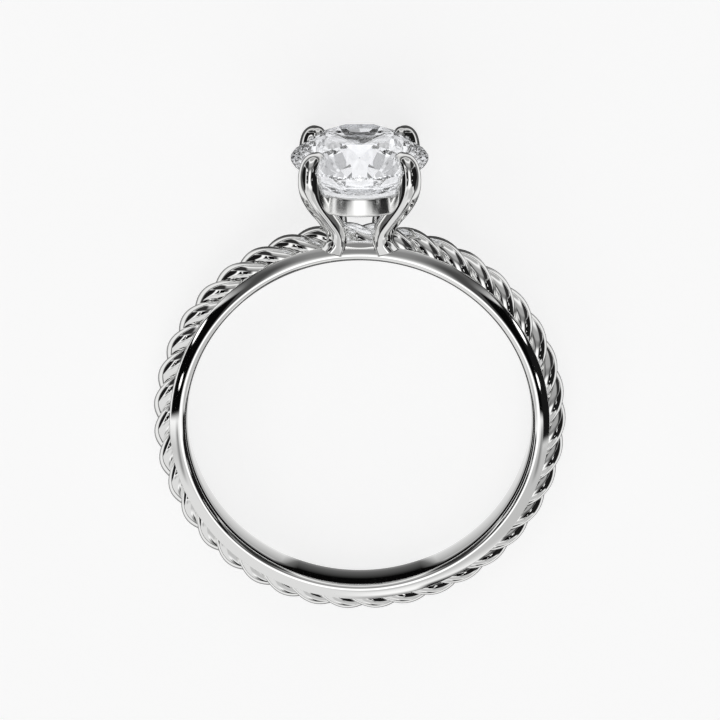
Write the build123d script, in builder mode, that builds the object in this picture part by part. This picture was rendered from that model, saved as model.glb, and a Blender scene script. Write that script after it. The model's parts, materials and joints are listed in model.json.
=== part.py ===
"""Twisted shank ring: a plain comfort-fit band carrying a three-strand twisted rope, with a
four-prong head and a round brilliant. The ring lies on its side, as it rests by itself."""
from build123d import *
from math import atan2, cos, radians, sin, sqrt
import os

os.makedirs("parts", exist_ok=True)

# Band: US finger size 6, comfort fit
bore_r = 8.25
bore_flat = 1.1
band_width = 2.1
band_outer_r = 9.1
comfort_depth = 0.06
lip_round = 0.30
outer_round = 0.16

# Rope of three strands laid round the band, half sunk in its outer face
strands = 3
turns_per_strand = 13
rope_pitch_r = 9.03
rope_bed = 0.3
strand_r = 0.50
strand_offset = 0.37
first_lobe = -88.0
stations_per_lobe = 4

# Round brilliant of 6.5 mm, about one carat
girdle_r = 3.24
girdle_h = 13.13
girdle_thick = 0.18
crown_height = 1.05
pavilion_depth = 2.79
table_r = 1.73
star_end_r = 2.42
lower_half_end_r = 0.75
mains = 8

# Head: four prongs from the band's rim to the claws, a gallery rail and a saddle
rail_outer_r = 2.56
rail_wall = 0.62
rail_height = 0.72
rail_edge = 0.08
rail_mid_h = 11.46
seat_gap = 0.04
saddle_half = (1.05, 0.18, 0.18)
saddle_h = 9.10
saddle_n = 0.84

# Resting pose: the girdle's edge and the far edge of the band touch the ground
band_half = band_width / 2
edge_r = band_outer_r - outer_round
lay_angle = atan2(girdle_r - band_half, girdle_h - girdle_thick / 2 + edge_r)
rope_outer_r = rope_pitch_r + strand_offset + strand_r
table_h = girdle_h + girdle_thick / 2 + crown_height
lay_y = -cos(lay_angle) * (table_h - rope_outer_r) / 2
lay_z = edge_r * sin(lay_angle) + band_half * cos(lay_angle)

# Ring frame: X across, Y towards the head, Z along the bore towards the upper side
ring = Plane(
    origin=(0, lay_y, lay_z),
    x_dir=(1, 0, 0),
    z_dir=(0, -sin(lay_angle), cos(lay_angle)),
)
bore_axis = Axis(ring.origin, ring.z_dir)
head_axis = Axis(ring.origin, ring.y_dir)


def in_ring(origin, x_dir, z_dir):
    """A plane given in the ring's frame, turned to where the ring lies."""
    return Plane(
        origin=ring.from_local_coords(Vector(*origin)),
        x_dir=ring.from_local_coords(Vector(*x_dir)) - ring.origin,
        z_dir=ring.from_local_coords(Vector(*z_dir)) - ring.origin,
    )


def rope_station(angle):
    """The plane across the rope at an angle round the band, 0 at the head, X pointing outwards."""
    a = radians(angle)
    outward = (sin(a), cos(a), 0)
    onward = (cos(a), -sin(a), 0)
    return in_ring([rope_pitch_r * c for c in outward], outward, onward)


def lobed_section(plane, twist):
    """Outline of the strands side by side: one arc each, meeting in the valleys between them."""
    sector = radians(180 / strands)
    valley_r = strand_offset * cos(sector) + sqrt(strand_r**2 - (strand_offset * sin(sector)) ** 2)
    peak_r = strand_offset + strand_r
    with BuildSketch(plane) as section:
        with BuildLine():
            for strand in range(strands):
                a = radians(twist + 360 / strands * strand)
                ThreePointArc(
                    (valley_r * cos(a - sector), valley_r * sin(a - sector)),
                    (peak_r * cos(a), peak_r * sin(a)),
                    (valley_r * cos(a + sector), valley_r * sin(a + sector)),
                )
        make_face()
    return section.sketch.face()


# Comfort-fit band: its profile drawn with X away from the bore's axis and Y along it
band_profile_plane = in_ring((0, 0, 0), (1, 0, 0), (0, -1, 0))
flat_end = (bore_r, bore_flat / 2)
inner_rim = (bore_r + comfort_depth, band_half)
outer_rim = (band_outer_r, band_half)
with BuildPart() as band:
    with BuildSketch(band_profile_plane) as band_profile:
        with BuildLine():
            Line((bore_r, -bore_flat / 2), flat_end)
            mirror([TangentArc(flat_end, inner_rim, tangent=(0, 1)), Line(inner_rim, outer_rim)], about=Plane.XZ)
            Line((band_outer_r, -band_half), outer_rim)
        make_face()
        corners = band_profile.vertices().group_by(Axis.Y)
        fillet([corners[0].sort_by(Axis.X)[0], corners[-1].sort_by(Axis.X)[0]], lip_round)
        corners = band_profile.vertices().group_by(Axis.X)
        fillet(corners[-1], outer_round)
    revolve(axis=bore_axis)

# One lobe of the rope is lofted through a few sections, then laid round the band again and again
lobe_angle = 360 / (strands * turns_per_strand)
lobe_sections = [
    lobed_section(
        rope_station(lobe_angle * step / stations_per_lobe),
        first_lobe + 360 / strands * step / stations_per_lobe,
    )
    for step in range(stations_per_lobe + 1)
]
with BuildPart() as rope_lobe:
    loft(sections=lobe_sections)

with BuildPart() as rope:
    add([rope_lobe.part.rotate(bore_axis, -lobe_angle * lobe) for lobe in range(strands * turns_per_strand)])
    with Locations(ring.location):
        Cylinder(bore_r + rope_bed, 2 * band_width, mode=Mode.SUBTRACT)

# Prong stations: height above the bore's axis, distance of the middle from the head's axis,
# azimuth from the bore's direction, lean of the section from level, side and corner of the section
prong_stations = [
    {"h": 8.70, "r": 1.66, "azimuth": 55, "lean": -24, "side": 0.94, "corner": 0.24},
    {"h": 9.25, "r": 1.46, "azimuth": 48, "lean": -4, "side": 0.84, "corner": 0.20},
    {"h": 9.90, "r": 1.60, "azimuth": 45, "lean": 26, "side": 0.84, "corner": 0.20},
    {"h": 10.65, "r": 2.14, "azimuth": 45, "lean": 39, "side": 0.88, "corner": 0.20},
    {"h": 11.45, "r": 2.78, "azimuth": 45, "lean": 36, "side": 0.94, "corner": 0.22},
    {"h": 12.15, "r": 3.18, "azimuth": 45, "lean": 20, "side": 0.98, "corner": 0.24},
    {"h": 12.80, "r": 3.30, "azimuth": 45, "lean": 0, "side": 0.98, "corner": 0.26},
    {"h": 13.34, "r": 3.24, "azimuth": 45, "lean": -18, "side": 0.94, "corner": 0.30},
    {"h": 13.60, "r": 3.06, "azimuth": 45, "lean": -50, "side": 0.84, "corner": 0.32},
    {"h": 13.68, "r": 2.74, "azimuth": 45, "lean": -88, "side": 0.56, "corner": 0.22},
]
face_crown = 0.04


def prong_section(station):
    """A rounded square across the prong, its four faces slightly crowned."""
    lean = radians(station["lean"])
    azimuth = radians(station["azimuth"])
    outward = (sin(azimuth), 0, cos(azimuth))
    sideways = (cos(azimuth), 0, -sin(azimuth))
    origin = (outward[0] * station["r"], station["h"], outward[2] * station["r"])
    along = (outward[0] * sin(lean), cos(lean), outward[2] * sin(lean))
    half = station["side"] / 2 - face_crown
    inner = half - station["corner"]
    turn = station["corner"] * (1 - cos(radians(45)))
    with BuildSketch(in_ring(origin, sideways, along)) as section:
        with BuildLine():
            for quarter in range(4):
                spin = Rot(0, 0, 90 * quarter)
                face_start, face_top, face_end = [
                    (spin * Pos(*p, 0)).position for p in ((half, -inner), (half + face_crown, 0), (half, inner))
                ]
                corner_mid, corner_end = [
                    (spin * Pos(*p, 0)).position for p in ((half - turn, half - turn), (inner, half))
                ]
                ThreePointArc(face_start, face_top, face_end)
                ThreePointArc(face_end, corner_mid, corner_end)
        make_face()
    return section.sketch.face()


# One prong is lofted through its stations, then mirrored across and along the bore
with BuildPart() as prong:
    loft(sections=[prong_section(station) for station in prong_stations])

with BuildPart() as prongs:
    add(prong.part)
    mirror(about=Plane(origin=ring.origin, z_dir=ring.x_dir))
    mirror(about=Plane(origin=ring.origin, z_dir=ring.z_dir))

# Gallery rail: a flat ring under the girdle that ties the prongs together
rail_profile_plane = in_ring((0, 0, 0), (1, 0, 0), (0, 0, 1))
with BuildPart() as rail:
    with BuildSketch(rail_profile_plane):
        with Locations((rail_outer_r - rail_wall / 2, rail_mid_h)):
            RectangleRounded(rail_wall, rail_height, rail_edge)
    revolve(axis=head_axis)

# Saddle plates close the gap between the feet of each pair of prongs on the band's rim
with BuildPart() as saddles:
    for side in (1, -1):
        with Locations(in_ring((0, saddle_h, side * saddle_n), (1, 0, 0), (0, 0, 1)).location):
            Box(2 * saddle_half[0], 2 * saddle_half[1], 2 * saddle_half[2])

# Round brilliant, cut from a round blank by one plane for each facet
stone_plane = in_ring((0, girdle_h - girdle_thick / 2, 0), (1, 0, 0), (0, 1, 0))


def facet(points):
    """The plane through three points of the stone, its normal pointing away from the stone's middle."""
    a, b, c = [stone_plane.from_local_coords(Vector(*p)) for p in points]
    normal = (b - a).cross(c - a).normalized()
    if normal.dot(a - stone_plane.origin) < 0:
        normal = -normal
    return Plane(origin=a, x_dir=b - a, z_dir=normal)


def around(radius, azimuth, height):
    """A point of the stone at a radius, an azimuth and a height above the girdle's lower edge."""
    return (radius * cos(radians(azimuth)), radius * sin(radians(azimuth)), height)


half_step = 180 / mains
bezel_slope = crown_height / (girdle_r - table_r)
star_z = girdle_thick + (girdle_r - star_end_r * cos(radians(half_step))) * bezel_slope
lower_z = -pavilion_depth + lower_half_end_r * cos(radians(half_step)) * pavilion_depth / girdle_r
facets = []
for main in range(mains):
    azimuth = half_step + 2 * half_step * main
    tip = around(girdle_r, azimuth, girdle_thick)
    root = around(girdle_r, azimuth, 0)
    side_dir = Vector(*around(1, azimuth + 90, 0))
    table_corner = around(table_r, azimuth, girdle_thick + crown_height)
    next_corner = around(table_r, azimuth + 2 * half_step, girdle_thick + crown_height)
    star_tip = around(star_end_r, azimuth + half_step, star_z)
    facets.append(facet([tip, Vector(*tip) + side_dir, table_corner]))
    facets.append(facet([table_corner, next_corner, star_tip]))
    facets.append(facet([root, Vector(*root) + side_dir, (0, 0, -pavilion_depth)]))
    for turn in (half_step, -half_step):
        star_tip = around(star_end_r, azimuth + turn, star_z)
        lower_tip = around(lower_half_end_r, azimuth + turn, lower_z)
        facets.append(facet([tip, around(girdle_r, azimuth + turn, girdle_thick), star_tip]))
        facets.append(facet([root, around(girdle_r, azimuth + turn, 0), lower_tip]))


def brilliant(grown):
    """The cut stone with every face moved outwards by a distance."""
    with BuildPart() as stone:
        with BuildSketch(stone_plane.offset(-pavilion_depth - grown)):
            Circle(girdle_r + grown)
        extrude(amount=pavilion_depth + girdle_thick + crown_height + 2 * grown)
        for plane in facets:
            split(bisect_by=plane.offset(grown), keep=Keep.BOTTOM)
    return stone.part


with BuildPart() as centre_stone:
    add(brilliant(0))

# The soldered mounting, its claws cut clear of the stone by the seat gap
with BuildPart() as mounting:
    add(band.part)
    add(rope.part)
    add(saddles.part)
    add(rail.part)
    add(prongs.part)
    add(brilliant(seat_gap), mode=Mode.SUBTRACT)

mounting.part.label = "mounting"
centre_stone.part.label = "centre_stone"
export_step(mounting.part, "parts/mounting.step")
export_step(centre_stone.part, "parts/centre_stone.step")
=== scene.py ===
"""Twisted shank ring in polished white gold with a round brilliant, lying on its side in a light tent."""
import json
from math import cos, pi, radians, sin

import bpy
import numpy as np
from mathutils import Matrix


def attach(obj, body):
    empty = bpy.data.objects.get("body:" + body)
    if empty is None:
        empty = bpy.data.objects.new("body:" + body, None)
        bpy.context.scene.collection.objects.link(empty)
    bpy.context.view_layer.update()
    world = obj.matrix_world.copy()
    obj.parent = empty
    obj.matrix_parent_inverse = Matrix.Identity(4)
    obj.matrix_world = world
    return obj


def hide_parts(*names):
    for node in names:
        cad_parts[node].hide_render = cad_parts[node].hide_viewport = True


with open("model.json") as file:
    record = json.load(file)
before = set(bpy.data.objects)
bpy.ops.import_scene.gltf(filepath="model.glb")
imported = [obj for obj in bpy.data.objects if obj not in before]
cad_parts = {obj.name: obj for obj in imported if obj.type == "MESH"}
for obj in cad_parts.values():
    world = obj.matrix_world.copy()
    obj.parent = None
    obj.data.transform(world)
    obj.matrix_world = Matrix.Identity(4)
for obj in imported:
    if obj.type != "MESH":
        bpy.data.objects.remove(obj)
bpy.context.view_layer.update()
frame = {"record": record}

# Ring frame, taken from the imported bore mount: across, towards the head, along the bore
MM = 0.001
MOUNT = next(m for m in frame["record"]["mounts"] if m["name"] == "finger_bore")
BORE_CENTRE = np.array(MOUNT["pos_m"])
ALONG_BORE = np.array(MOUNT["axis"]) / np.linalg.norm(MOUNT["axis"])
ACROSS = np.array([1.0, 0.0, 0.0])
TO_HEAD = np.cross(ALONG_BORE, ACROSS)
RING_AXES = np.stack([ACROSS, TO_HEAD, ALONG_BORE])

# Band, in millimetres from the bore's middle
BORE_R = MOUNT["dims"]["r_mm"]
FLAT_HALF = 0.436
FLARE_R = 2.4
FLARE_ANGLE = 8.6
LIP_CREST_R = 8.577
LIP_R = 0.30
BAND_HALF = 1.05
DOME_R = 2.6
DOME_START = 16.0
DOME_END = 25.9
RIM_R = 0.05
BAND_STEPS = 720

# Rope
STRANDS = 3
TURNS = 13
ROPE_PITCH_R = 9.00
STRAND_R = 0.465
STRAND_OFFSET = 0.433
ROPE_BED = 0.30
ROPE_WIDTH_SHARE = 0.94
FIRST_LOBE = 32.0
ROPE_STEPS = 1440
STRAND_SIDES = 30

# Stone
GIRDLE_R = 3.24
GIRDLE_H = 13.13
GIRDLE_THICK = 0.18
CROWN = 1.05
PAVILION = 2.79
TABLE_R = 1.73
STAR_END_R = 2.42
LOWER_HALF_END_R = 0.75
MAINS = 8
GIRDLE_STEPS = 6

# Gallery rail and saddle plates
RAIL_MID_R = 2.25
RAIL_WALL = 0.62
RAIL_HEIGHT = 0.92
RAIL_EDGE = 0.09
RAIL_MID_H = 11.46
RAIL_CROWN = 0.05
RAIL_CREST = -0.24
RAIL_STEPS = 240
SADDLE_HALF = (1.05, 0.18, 0.18)
SADDLE_H = 9.10
SADDLE_N = 0.84
SADDLE_LEAN = 0.36
SADDLE_POWER = 6


def in_frame(points):
    """Points of the ring frame in millimetres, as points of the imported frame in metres."""
    return BORE_CENTRE + MM * np.asarray(points) @ RING_AXES


def mesh_piece(name, points, faces, smooth=True):
    """A mesh from points in the ring frame and its faces, turned so that its volume is positive."""
    placed = in_frame(points)
    fans = [(f[0], f[i], f[i + 1]) for f in faces for i in range(1, len(f) - 1)]
    a, b, c = (placed[np.array([fan[i] for fan in fans])] for i in range(3))
    if np.einsum("ij,ij->i", a, np.cross(b, c)).sum() < 0:
        faces = [tuple(reversed(f)) for f in faces]
    mesh = bpy.data.meshes.new(name)
    mesh.from_pydata(placed.tolist(), [], faces)
    mesh.polygons.foreach_set("use_smooth", np.full(len(mesh.polygons), smooth))
    mesh.update()
    piece = bpy.data.objects.new(name, mesh)
    bpy.context.scene.collection.objects.link(piece)
    return piece


def grid_faces(rows, columns, close_rows):
    """Quads between neighbouring points of a grid; the columns wrap round, the rows do so on request."""
    steps = rows if close_rows else rows - 1
    i, j = np.meshgrid(np.arange(steps), np.arange(columns), indexing="ij")
    i_next, j_next = (i + 1) % rows, (j + 1) % columns
    row, row_next = i * columns, i_next * columns
    return np.stack([row + j, row + j_next, row_next + j_next, row_next + j], -1).reshape(-1, 4).tolist()


def ring_surface(name, rows):
    """A surface closed both ways, such as a hoop or a tube that meets its own start."""
    count, columns = rows.shape[:2]
    return mesh_piece(name, rows.reshape(-1, 3), grid_faces(count, columns, close_rows=True))


def capped_surface(name, rows):
    """A tube closed at each end by a fan of triangles to the middle of its last row."""
    count, columns = rows.shape[:2]
    points = np.vstack([rows.reshape(-1, 3), rows[0].mean(0), rows[-1].mean(0)])
    first_pole, last_pole = count * columns, count * columns + 1
    faces = grid_faces(count, columns, close_rows=False)
    last_row = (count - 1) * columns
    for j in range(columns):
        following = (j + 1) % columns
        faces.append([first_pole, following, j])
        faces.append([last_pole, last_row + j, last_row + following])
    return mesh_piece(name, points, faces)


def arc(centre, radius, start, end, count):
    """Points of a profile arc. Its angle, in degrees, is the surface's tilt outwards from its axis."""
    tilt = np.radians(np.linspace(start, end, count))
    return np.stack([centre[0] + radius * np.sin(tilt), centre[1] + radius * np.cos(tilt)], -1)


def turned(profile, steps):
    """A profile of radius and height, turned: sideways, straight ahead and along the axis; rows run round."""
    turn = np.linspace(0, 2 * pi, steps, endpoint=False)[:, None]
    radius, height = profile[None, :, 0], profile[None, :, 1]
    return radius * np.sin(turn), radius * np.cos(turn), height + 0 * turn


def inner_band():
    """The comfort-fit band: bore, flare, lip, domed side and rim, mirrored and turned about the bore."""
    lip_centre = (LIP_CREST_R, BAND_HALF - LIP_R)
    lip_end = arc(lip_centre, LIP_R, DOME_START, DOME_START, 1)[0]
    dome_centre = lip_end - DOME_R * np.array([sin(radians(DOME_START)), cos(radians(DOME_START))])
    dome_end = arc(dome_centre, DOME_R, DOME_END, DOME_END, 1)[0]
    rim_centre = dome_end - RIM_R * np.array([sin(radians(DOME_END)), cos(radians(DOME_END))])
    flare = arc((BORE_R + FLARE_R, FLAT_HALF), -FLARE_R, 90, 90 - FLARE_ANGLE, 8)
    flare[:, 1] = 2 * FLAT_HALF - flare[:, 1]
    half = np.vstack([
        flare,
        arc(lip_centre, LIP_R, FLARE_ANGLE - 90, DOME_START, 26)[1:],
        arc(dome_centre, DOME_R, DOME_START, DOME_END, 10)[1:],
        arc(rim_centre, RIM_R, DOME_END, 90, 7)[1:],
    ])
    profile = np.vstack([half, half[::-1] * [1, -1]])
    x, h, n = turned(profile, BAND_STEPS)
    return ring_surface("inner_band", np.stack([x, h, n], -1))


def rope_strand(index):
    """One strand: a tube whose middle winds TURNS times about the rope's circle, pressed flat on the band.

    Heights along the bore are scaled by ROPE_WIDTH_SHARE, as the rope is a little narrower than it is thick.
    """
    s = np.linspace(0, 2 * pi, ROPE_STEPS, endpoint=False)
    phase = radians(FIRST_LOBE) + 2 * pi * index / STRANDS + TURNS * s
    outward = np.stack([np.sin(s), np.cos(s), 0 * s], -1)
    onward = np.stack([np.cos(s), -np.sin(s), 0 * s], -1)
    along = np.array([0.0, 0.0, 1.0])
    away = np.cos(phase)[:, None] * outward + np.sin(phase)[:, None] * along
    middle = ROPE_PITCH_R * outward + STRAND_OFFSET * away
    turning = -np.sin(phase)[:, None] * outward + np.cos(phase)[:, None] * along
    reach = ROPE_PITCH_R + STRAND_OFFSET * np.cos(phase)
    tangent = reach[:, None] * onward + TURNS * STRAND_OFFSET * turning
    tangent /= np.linalg.norm(tangent, axis=1, keepdims=True)
    side = np.cross(tangent, away)
    side /= np.linalg.norm(side, axis=1, keepdims=True)
    up = np.cross(side, tangent)
    v = np.linspace(0, 2 * pi, STRAND_SIDES, endpoint=False)[None, :, None]
    tube = middle[:, None] + STRAND_R * (np.cos(v) * up[:, None] + np.sin(v) * side[:, None])
    radius = np.hypot(tube[..., 0], tube[..., 1])
    tube[..., 2] *= ROPE_WIDTH_SHARE
    tube[..., :2] *= (np.maximum(radius, BORE_R + ROPE_BED) / radius)[..., None]
    return ring_surface(f"rope_strand_{index + 1}", tube)


# Prong stations: height, distance from the head's axis, azimuth from the bore's direction, outward lean,
# width of the section and its superellipse power
PRONG_STATIONS = {
    "h": [8.70, 9.25, 9.90, 10.65, 11.45, 12.15, 12.80, 13.34, 13.60, 13.68],
    "r": [1.66, 1.46, 1.60, 2.14, 2.78, 3.18, 3.30, 3.24, 3.06, 2.80],
    "azimuth": [55, 48, 45, 45, 45, 45, 45, 45, 45, 45],
    "lean": [-24, -4, 26, 39, 36, 20, 0, -18, -50, -88],
    "side": [0.94, 0.84, 0.84, 0.88, 0.94, 0.98, 0.98, 0.94, 0.86, 0.70],
    "power": [3.4, 3.4, 3.4, 3.4, 3.4, 3.2, 2.8, 2.4, 2.2, 2.0],
}
PRONG_ROWS = 90
PRONG_SIDES = 48
CAP_ANGLES = np.radians(np.linspace(8, 84, 10))


def smooth_through(values, count):
    """A cubic Hermite curve through evenly numbered values, its slopes taken from the neighbours."""
    values = np.asarray(values, float)
    slopes = np.gradient(values)
    at = np.linspace(0, len(values) - 1, count)
    low = np.minimum(at.astype(int), len(values) - 2)
    t = at - low
    h00, h10 = 2 * t**3 - 3 * t**2 + 1, t**3 - 2 * t**2 + t
    h01, h11 = 3 * t**2 - 2 * t**3, t**3 - t**2
    return h00 * values[low] + h10 * slopes[low] + h01 * values[low + 1] + h11 * slopes[low + 1]


def prong(name, across, along_bore):
    """A prong: superellipse sections carried through the stations, with a round cap on the claw's end."""
    stations = {key: smooth_through(values, PRONG_ROWS) for key, values in PRONG_STATIONS.items()}
    azimuth, lean = np.radians(stations["azimuth"]), np.radians(stations["lean"])
    outward = np.stack([across * np.sin(azimuth), 0 * azimuth, along_bore * np.cos(azimuth)], -1)
    sideways = np.stack([across * np.cos(azimuth), 0 * azimuth, -along_bore * np.sin(azimuth)], -1)
    up = np.array([0.0, 1.0, 0.0])
    along = np.sin(lean)[:, None] * outward + np.cos(lean)[:, None] * up
    facing = np.cos(lean)[:, None] * outward - np.sin(lean)[:, None] * up
    middle = stations["r"][:, None] * outward + stations["h"][:, None] * up
    half = stations["side"] / 2
    middle = np.vstack([middle, middle[-1] + half[-1] * np.sin(CAP_ANGLES)[:, None] * along[-1]])
    half = np.concatenate([half, half[-1] * np.cos(CAP_ANGLES)])
    cap_rows = len(CAP_ANGLES)
    power = np.concatenate([stations["power"], np.full(cap_rows, stations["power"][-1])])[:, None]
    sideways = np.vstack([sideways, np.repeat(sideways[-1:], cap_rows, 0)])
    facing = np.vstack([facing, np.repeat(facing[-1:], cap_rows, 0)])
    v = np.linspace(0, 2 * pi, PRONG_SIDES, endpoint=False)[None, :]
    reach = (np.abs(np.cos(v)) ** power + np.abs(np.sin(v)) ** power) ** (-1 / power) * half[:, None]
    rows = middle[:, None] + (reach * np.cos(v))[..., None] * sideways[:, None]
    rows = rows + (reach * np.sin(v))[..., None] * facing[:, None]
    return capped_surface(name, rows)


def gallery_rail():
    """The rail: a rectangle with round edges and a parabolic outer face, turned about the head's axis."""
    across, up = RAIL_WALL / 2 - RAIL_EDGE, RAIL_HEIGHT / 2 - RAIL_EDGE
    corners = [
        arc((RAIL_MID_R + x * across, y * up), RAIL_EDGE, start, start + 90, 7)
        for x, y, start in ((1, 1, 0), (1, -1, 90), (-1, -1, 180), (-1, 1, 270))
    ]
    face = np.linspace(up, -up, 14)[1:-1]
    corners.insert(1, np.stack([np.full(len(face), RAIL_MID_R + RAIL_WALL / 2), face], -1))
    profile = np.vstack(corners)
    outer = np.clip((profile[:, 0] - RAIL_MID_R) / (RAIL_WALL / 2), 0, 1)
    profile[:, 0] -= outer * RAIL_CROWN * (profile[:, 1] - RAIL_CREST) ** 2
    x, n, h = turned(profile, RAIL_STEPS)
    return ring_surface("gallery_rail", np.stack([x, h + RAIL_MID_H, n], -1))


def saddle_plate(name, side):
    """A small plate with round edges: a superellipsoid, sheared to lean back with the band's side."""
    u = np.radians(np.linspace(-88, 88, 34))[:, None]
    v = np.linspace(0, 2 * pi, 64, endpoint=False)[None, :]
    direction = np.stack([np.cos(u) * np.cos(v), np.sin(u) + 0 * v, np.cos(u) * np.sin(v)], -1)
    scaled = direction / np.array(SADDLE_HALF)
    reach = (np.abs(scaled) ** SADDLE_POWER).sum(-1, keepdims=True) ** (-1 / SADDLE_POWER)
    plate = direction * reach
    plate[..., 2] -= side * SADDLE_LEAN * plate[..., 1]
    return capped_surface(name, plate + [0, SADDLE_H, side * SADDLE_N])


def brilliant():
    """The stone: table, stars, kites, upper halves, girdle, lower halves and mains, each one a flat face."""
    half = pi / MAINS
    slope = CROWN / (GIRDLE_R - TABLE_R)
    star_z = GIRDLE_THICK + (GIRDLE_R - STAR_END_R * cos(half)) * slope
    lower_z = -PAVILION + LOWER_HALF_END_R * cos(half) * PAVILION / GIRDLE_R
    points, faces, index = [], [], {}

    def point(radius, azimuth, height):
        key = (round(radius, 5), round(azimuth % (2 * pi), 5) % round(2 * pi, 5), round(height, 5))
        if key not in index:
            index[key] = len(points)
            base = GIRDLE_H - GIRDLE_THICK / 2
            points.append((radius * cos(azimuth), base + height, radius * sin(azimuth)))
        return index[key]

    def edge_height(azimuth, step_azimuth, level, tip):
        """Height, on the girdle's circle, of the plane through two girdle points and the facet's far end."""
        a = np.array([GIRDLE_R, 0.0, level])
        b = np.array([GIRDLE_R * cos(half), GIRDLE_R * sin(half), level])
        c = np.array([tip[0] * cos(half), tip[0] * sin(half), tip[1]])
        normal = np.cross(b - a, c - a)
        at = np.array([GIRDLE_R * cos(step_azimuth), GIRDLE_R * sin(step_azimuth)])
        return level - (normal[:2] @ (at - a[:2])) / normal[2]

    offsets = [half * step / GIRDLE_STEPS for step in range(GIRDLE_STEPS + 1)]
    crown_edge = [edge_height(0, o, GIRDLE_THICK, (STAR_END_R, star_z)) for o in offsets]
    lower_edge = [edge_height(0, o, 0, (LOWER_HALF_END_R, lower_z)) for o in offsets]
    culet = point(0, 0, -PAVILION)
    table = [point(TABLE_R, half + 2 * half * m, GIRDLE_THICK + CROWN) for m in range(MAINS)]
    faces.append(table)
    for main in range(MAINS):
        middle = half + 2 * half * main
        tip = point(GIRDLE_R, middle, GIRDLE_THICK)
        root = point(GIRDLE_R, middle, 0)
        stars = [point(STAR_END_R, middle + turn, star_z) for turn in (-half, half)]
        lowers = [point(LOWER_HALF_END_R, middle + turn, lower_z) for turn in (-half, half)]
        faces.append([table[main], stars[0], tip, stars[1]])
        faces.append([table[main], stars[1], table[(main + 1) % MAINS]])
        faces.append([root, lowers[0], culet, lowers[1]])
        for turn, star, lower in zip((-1, 1), stars, lowers):
            top = [point(GIRDLE_R, middle + turn * o, z) for o, z in zip(offsets, crown_edge)]
            bottom = [point(GIRDLE_R, middle + turn * o, z) for o, z in zip(offsets, lower_edge)]
            faces.append(top + [star])
            faces.append(bottom + [lower])
            faces += [[bottom[i], bottom[i + 1], top[i + 1], top[i]] for i in range(GIRDLE_STEPS)]
    return np.array(points), faces


def facing_out(points, faces, centre):
    """The faces of a convex solid, each turned so that its normal points away from the centre."""
    turned_faces = []
    for face in faces:
        corner = points[face]
        normal = np.cross(corner[1] - corner[0], corner[2] - corner[0])
        outward = normal @ (corner.mean(0) - centre) > 0
        turned_faces.append(list(face) if outward else list(reversed(face)))
    return turned_faces


def stone():
    """The brilliant as one mesh, flat shaded."""
    points, faces = brilliant()
    centre = np.array([0, GIRDLE_H, 0])
    return mesh_piece("round_brilliant", points, facing_out(points, faces, centre), smooth=False)


def linear(hex_colour):
    """A hex sRGB colour as linear red, green, blue and alpha."""
    parts = [int(hex_colour[i:i + 2], 16) / 255 for i in (1, 3, 5)]
    return tuple(p / 12.92 if p <= 0.04045 else ((p + 0.055) / 1.055) ** 2.4 for p in parts) + (1.0,)


def add_node(tree, kind, settings=None, inputs=None):
    """Adds a node, sets its properties, and gives each named or numbered socket its link or its value."""
    node = tree.nodes.new(kind)
    for key, value in (settings or {}).items():
        setattr(node, key, value)
    for socket, value in (inputs or {}).items():
        if isinstance(value, bpy.types.NodeSocket):
            tree.links.new(value, node.inputs[socket])
        else:
            node.inputs[socket].default_value = value
    return node


def new_material(name):
    """An empty node material with its Principled shader."""
    material = bpy.data.materials.new(name)
    material.use_nodes = True
    return material, material.node_tree, material.node_tree.nodes["Principled BSDF"]


POLISH_PATCH = 1.5 * MM


def white_gold_material(name, smoothest, roughest):
    """White gold, rhodium plated and polished: neutral, its mirror images a little uneven in sharpness."""
    material, tree, shader = new_material(name)
    shader.inputs["Base Color"].default_value = linear("#F2F2F1")
    shader.inputs["Metallic"].default_value = 1.0
    place = add_node(tree, "ShaderNodeTexCoord").outputs["Object"]
    pattern = {"Vector": place, "Scale": 1 / POLISH_PATCH, "Detail": 3.0}
    haze = add_node(tree, "ShaderNodeTexNoise", inputs=pattern)
    limits = {"Value": haze.outputs["Fac"], "To Min": smoothest, "To Max": roughest}
    polish = add_node(tree, "ShaderNodeMapRange", inputs=limits)
    tree.links.new(polish.outputs["Result"], shader.inputs["Roughness"])
    return material


def diamond_material():
    """Diamond, cut and polished: clear, with the strong refraction that breaks light between its facets."""
    material, tree, shader = new_material("diamond_polished")
    shader.inputs["Base Color"].default_value = linear("#FBFCFF")
    shader.inputs["IOR"].default_value = 2.417
    shader.inputs["Transmission Weight"].default_value = 1.0
    shader.inputs["Roughness"].default_value = 0.0
    return material


# Painted reflection shade: how light the floor is painted where the metal mirrors it. It is dark round the
# ring so that the metal shows dark outlines and patches. Centre on the line to the head, in millimetres from
# the bore's middle, then distances from that centre with the light there
ROUND_BAND = (0.0, (
    (6.9, 0.9), (7.3, 0.4), (7.6, 0.35), (8.0, 1.0), (8.2, 1.0), (8.4, 0.14),
    (10.0, 0.14), (11.2, 0.25), (12.8, 0.9), (24.0, 0.9), (40.0, 0.12),
))
UNDER_HEAD = (11.5, ((0.0, 0.05), (6.5, 0.08), (9.0, 0.9)))
BELOW_BORE = (-6.0, ((0.0, 0.0), (3.0, 0.0), (3.8, 1.0)))
NEAR_BAND = (0.0, ((0.0, 0.0), (7.75, 0.0), (7.95, 0.4), (8.3, 0.3)))
LOWER_HALF = (-3.0, ((0.0, 0.0), (5.6, 0.0), (6.8, 1.0)))
MIDDLE = (0.0, ((0.0, 0.0), (6.9, 0.0), (7.3, 1.0)))
FARTHEST_STOP = 100
FLOOR_GLOW = 0.72
# Painted light: extra glow that the floor shows only when it is seen through the stone
PAINTED_GLOW_THROUGH_STONE = 0.28


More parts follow.
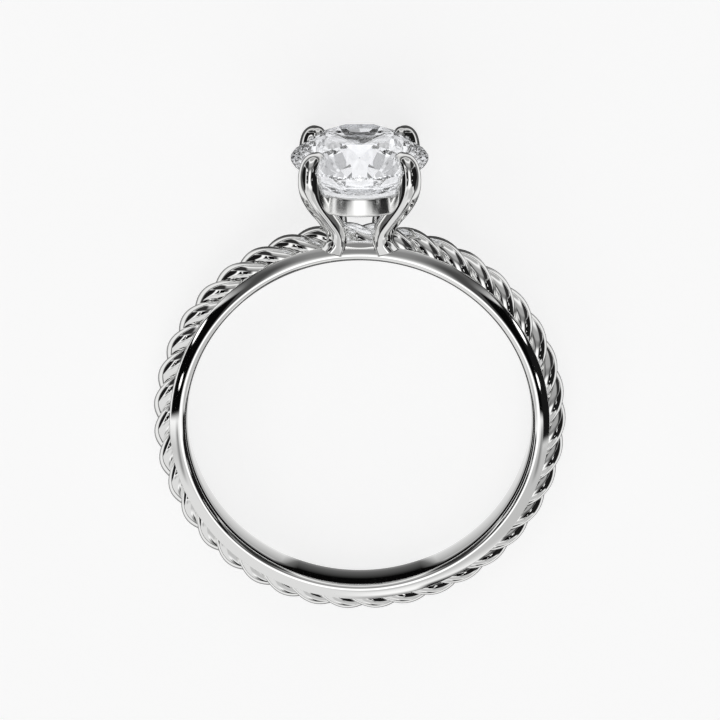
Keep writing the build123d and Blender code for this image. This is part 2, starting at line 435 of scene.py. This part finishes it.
def floor_material():
    """Backlit white acrylic, evenly bright to the camera. Painted reflection: in the metal's mirror images it
    is painted dark round the ring, and seen through the stone it is painted brighter.
    """
    material, tree, shader = new_material("floor_acrylic_with_painted_reflection_shade")
    place = add_node(tree, "ShaderNodeTexCoord").outputs["Object"]

    def shade_within(offset, stops):
        """Painted light for the metal's mirror images, by distance from a point of the floor, blended between
        the stops.
        """
        centre = tuple((BORE_CENTRE + offset * MM * TO_HEAD) * [1, 1, 0])
        distance = add_node(tree, "ShaderNodeVectorMath", {"operation": "DISTANCE"}, {0: place, 1: centre})
        share = add_node(tree, "ShaderNodeMath", {"operation": "MULTIPLY", "use_clamp": True},
                         {0: distance.outputs["Value"], 1: 1 / (FARTHEST_STOP * MM)})
        shade = add_node(tree, "ShaderNodeValToRGB", inputs={"Fac": share.outputs["Value"]})
        elements = shade.color_ramp.elements
        for _ in stops[len(elements):]:
            elements.new(0.5)
        for element, (reach, light) in zip(elements, stops):
            element.position = reach / FARTHEST_STOP
            element.color = (light, light, light, 1)
        return shade.outputs["Color"]

    def chosen(operation, a, b):
        """The lighter or the darker of two lights."""
        settings = {"operation": operation, "use_clamp": True}
        return add_node(tree, "ShaderNodeMath", settings, {0: a, 1: b}).outputs["Value"]

    # Painted reflection shade: the floor's light as the metal mirrors it, darkest in rings and spots round
    # the ring
    painted_reflection_shade = chosen("MINIMUM", shade_within(*ROUND_BAND), shade_within(*UNDER_HEAD))
    for disc, ring in ((BELOW_BORE, NEAR_BAND), (LOWER_HALF, MIDDLE)):
        painted_dark_reflection_spot = chosen("MAXIMUM", shade_within(*disc), shade_within(*ring))
        painted_reflection_shade = chosen("MINIMUM", painted_reflection_shade, painted_dark_reflection_spot)
    path = add_node(tree, "ShaderNodeLightPath").outputs
    # Light that the stone passes on counts as glossy too, so it is taken off
    mirrored = add_node(tree, "ShaderNodeMath", {"operation": "SUBTRACT", "use_clamp": True},
                        {0: path["Is Glossy Ray"], 1: path["Is Transmission Ray"]}).outputs["Value"]
    # Emission: an even glow to the camera, and painted reflection shade in the metal's mirror images
    glow = add_node(tree, "ShaderNodeMix", {"data_type": "FLOAT"},
                    {0: mirrored, 2: FLOOR_GLOW, 3: painted_reflection_shade})
    # Painted light: the floor glows brighter where it is seen through the stone
    glow = add_node(tree, "ShaderNodeMath", {"operation": "MULTIPLY_ADD", "use_clamp": True},
                    {0: path["Is Transmission Ray"], 1: PAINTED_GLOW_THROUGH_STONE, 2: glow.outputs[0]})
    # Painted reflection shade: the sheet's colour is near black in the metal's mirror images and pale grey
    # otherwise
    sheet = add_node(tree, "ShaderNodeMix", {"data_type": "RGBA"},
                     {0: mirrored, 6: linear("#B9B9B9"), 7: linear("#101010")})
    tree.links.new(sheet.outputs[2], shader.inputs["Base Color"])
    tree.links.new(glow.outputs["Value"], shader.inputs["Emission Strength"])
    shader.inputs["Emission Color"].default_value = linear("#FFFFFF")
    shader.inputs["Roughness"].default_value = 0.9
    shader.inputs["Specular IOR Level"].default_value = 0.0
    return material


# Studio as seen from the ring: the sideways and towards-the-head parts of a direction, the softness of the
# patch's edges, the light that comes from there, and the sides that it is on. Later patches cover earlier
# ones.
TENT_LIGHT = 1.08
PATCHES = [
    ("upper cloth", (-0.1, 0.66), (0.46, 0.76), 0.10, 0.42, "both"),
    ("upper cloth in shade", (-0.1, 0.62), (0.20, 0.50), 0.10, 0.26, "both"),
    ("lower cloth in shade", (-0.1, 0.80), (-0.82, -0.40), 0.08, 0.58, "both"),
    ("far below", (-0.1, 0.60), (-1.10, -0.93), 0.03, 0.30, "both"),
    ("below sides", (0.20, 0.60), (-1.10, -0.88), 0.03, 0.02, "both"),
    ("lit cloth", (0.0, 1.10), (-1.10, -0.50), 0.10, 0.80, "left"),
    ("top", (-0.1, 0.70), (0.88, 1.10), 0.04, 0.45, "both"),
    ("top corner", (0.47, 0.93), (0.30, 0.83), 0.07, 0.03, "both"),
    ("camera side gap", (0.26, 0.50), (-0.26, 0.38), 0.10, 0.07, "both"),
    ("side flag", (0.84, 1.10), (-0.55, 0.30), 0.02, 0.01, "both"),
    ("lower bar", (0.54, 0.60), (-0.54, -0.36), 0.04, 0.25, "both"),
    ("black flag", (0.43, 0.75), (-0.33, 0.17), 0.02, 0.002, "both"),
    ("wide flag", (0.60, 0.86), (-0.42, 0.30), 0.02, 0.01, "right"),
    ("overhead softbox", (-0.1, 0.20), (-0.42, 0.00), 0.09, 1.3, "both"),
]
# Lamps on both sides: sideways and towards-the-head parts, half their size in each, and light
LAMPS = [
    ("upper lamp", (0.66, 0.05), (0.028, 0.07), 1.6),
    ("lower lamp", (0.62, -0.20), (0.025, 0.032), 1.6),
]
HORIZON = (-0.04, 0.02)
LAMP_EDGE = (0.7, 1.3)
STONE_SHARE = 0.22
STONE_LIGHT = 2.4
BACKDROP_LIGHT = 1.0


def light_tent():
    """A white tent with dark flags and grey cloth, and two small lamps before each black flag."""
    world = bpy.data.worlds.new("light_tent")
    world.use_nodes = True
    tree = world.node_tree
    tree.nodes.clear()
    towards = add_node(tree, "ShaderNodeTexCoord").outputs["Generated"]
    axes = {"right": ACROSS, "left": -ACROSS, "head": TO_HEAD, "above": ALONG_BORE}
    part = {
        name: add_node(tree, "ShaderNodeVectorMath", {"operation": "DOT_PRODUCT"},
                       {0: towards, 1: tuple(axis)}).outputs["Value"]
        for name, axis in axes.items()
    }
    part["both"] = add_node(tree, "ShaderNodeMath", {"operation": "ABSOLUTE"}, {0: part["right"]}).outputs[0]

    def eased(value, edges, result=(0.0, 1.0)):
        """An even S-shaped change between two results as the value passes the edges."""
        limits = {"From Min": edges[0], "From Max": edges[1], "To Min": result[0], "To Max": result[1]}
        settings = {"interpolation_type": "SMOOTHSTEP"}
        return add_node(tree, "ShaderNodeMapRange", settings, {"Value": value, **limits}).outputs["Result"]

    def product(*values):
        """All the values multiplied."""
        result = values[0]
        for value in values[1:]:
            node = add_node(tree, "ShaderNodeMath", {"operation": "MULTIPLY"}, {0: result, 1: value})
            result = node.outputs["Value"]
        return result

    def inside(value, limits, soft):
        """One between the limits and nothing outside, with soft edges."""
        rise, fall = (eased(value, (limit - soft, limit + soft)) for limit in limits)
        node = add_node(tree, "ShaderNodeMath", {"operation": "SUBTRACT"}, {0: rise, 1: fall})
        return node.outputs["Value"]

    def covered(name, light, share, over):
        """The light so far, covered with another by a share."""
        settings = {"data_type": "FLOAT", "label": name}
        return add_node(tree, "ShaderNodeMix", settings, {0: share, 2: light, 3: over}).outputs[0]

    above = eased(part["above"], HORIZON)
    light = TENT_LIGHT
    for name, across_limits, head_limits, soft, strength, on_side in PATCHES:
        across_share = inside(part[on_side], across_limits, soft)
        head_share = inside(part["head"], head_limits, soft)
        light = covered(name, light, product(across_share, head_share, above), strength)
    place = add_node(tree, "ShaderNodeCombineXYZ", inputs={"X": part["both"], "Y": part["head"]}).outputs[0]
    for name, centre, half_size, strength in LAMPS:
        offset = add_node(tree, "ShaderNodeVectorMath", {"operation": "SUBTRACT"},
                          {0: place, 1: (*centre, 0.0)})
        scaled = add_node(tree, "ShaderNodeVectorMath", {"operation": "DIVIDE"},
                          {0: offset.outputs["Vector"], 1: (*half_size, 1.0)}).outputs["Vector"]
        square = add_node(tree, "ShaderNodeVectorMath", {"operation": "DOT_PRODUCT"}, {0: scaled, 1: scaled})
        lamp = eased(square.outputs["Value"], LAMP_EDGE, (1.0, 0.0))
        light = covered(name, light, product(lamp, above), strength)
    path = add_node(tree, "ShaderNodeLightPath").outputs
    stone_share = product(path["Is Transmission Ray"], STONE_SHARE)
    light = covered("through the stone", light, stone_share, STONE_LIGHT)
    light = covered("backdrop", light, path["Is Camera Ray"], BACKDROP_LIGHT)
    white = {"Strength": light, "Color": linear("#FFFFFF")}
    background = add_node(tree, "ShaderNodeBackground", inputs=white)
    add_node(tree, "ShaderNodeOutputWorld", inputs={"Surface": background.outputs["Background"]})
    bpy.context.scene.world = world


# Camera at the photo's angle to the ring: distance in millimetres, its angle of height and its aim in
# degrees, picture points to a millimetre at the ring's middle, the picture's width and middle in points
CAMERA_DISTANCE = 230.0
CAMERA_RISE = 21.07
CAMERA_AIM = 20.38
FOCAL_SHARE = 20.806
PHOTO_SIZE = 720
PRINCIPAL_X = 359.59
SENSOR_WIDTH = 36


def camera():
    """The camera above the ring, leaning towards the head, with the photo's framing."""
    rise, aim = radians(CAMERA_RISE), radians(CAMERA_AIM)
    eye = BORE_CENTRE + MM * CAMERA_DISTANCE * (sin(rise) * TO_HEAD + cos(rise) * ALONG_BORE)
    forward = -(sin(aim) * TO_HEAD + cos(aim) * ALONG_BORE)
    up = cos(aim) * TO_HEAD - sin(aim) * ALONG_BORE
    right = np.cross(forward, up)
    lens = bpy.data.cameras.new("camera")
    lens.sensor_width = SENSOR_WIDTH
    lens.lens = FOCAL_SHARE * CAMERA_DISTANCE / PHOTO_SIZE * lens.sensor_width
    lens.shift_x = (PHOTO_SIZE / 2 - PRINCIPAL_X) / PHOTO_SIZE
    lens.clip_start = 0.01
    taker = bpy.data.objects.new("camera", lens)
    bpy.context.scene.collection.objects.link(taker)
    pose = np.eye(4)
    pose[:3] = np.stack([right, up, -forward, eye], -1)
    taker.matrix_world = Matrix(pose)
    bpy.context.scene.camera = taker


FLOOR_HALF = 2.0


def floor():
    """A wide pale sheet under the ring."""
    half = FLOOR_HALF
    corners = [(-half, -half, 0), (half, -half, 0), (half, half, 0), (-half, half, 0)]
    mesh = bpy.data.meshes.new("floor")
    mesh.from_pydata(corners, [], [(0, 1, 2, 3)])
    sheet = bpy.data.objects.new("floor", mesh)
    bpy.context.scene.collection.objects.link(sheet)
    sheet.data.materials.append(floor_material())


metal_pieces = [inner_band(), gallery_rail()]
metal_pieces += [rope_strand(index) for index in range(STRANDS)]
metal_pieces += [
    prong(f"prong_{number + 1}", across, along_bore)
    for number, (across, along_bore) in enumerate(((-1, 1), (1, 1), (1, -1), (-1, -1)))
]
metal_pieces += [saddle_plate("saddle_front", 1), saddle_plate("saddle_back", -1)]
# The wheel polishes to a sharp mirror. The rail, out of its reach, is polished by hand and mirrors softly
mirror_gold = white_gold_material("white_gold_mirror_polished", 0.02, 0.05)
soft_gold = white_gold_material("white_gold_hand_polished", 0.15, 0.20)
for piece in metal_pieces:
    piece.data.materials.append(soft_gold if piece.name == "gallery_rail" else mirror_gold)
    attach(piece, "root")
    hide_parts("mounting")

centre_stone = stone()
centre_stone.data.materials.append(diamond_material())
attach(centre_stone, "root")
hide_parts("centre_stone")

floor()
light_tent()
camera()
bpy.context.scene.view_settings.view_transform = "Standard"
# Light turns many times inside the stone and between the rope's strands
bpy.context.scene.cycles.max_bounces = 24
bpy.context.scene.cycles.glossy_bounces = 20
bpy.context.scene.cycles.transmission_bounces = 24
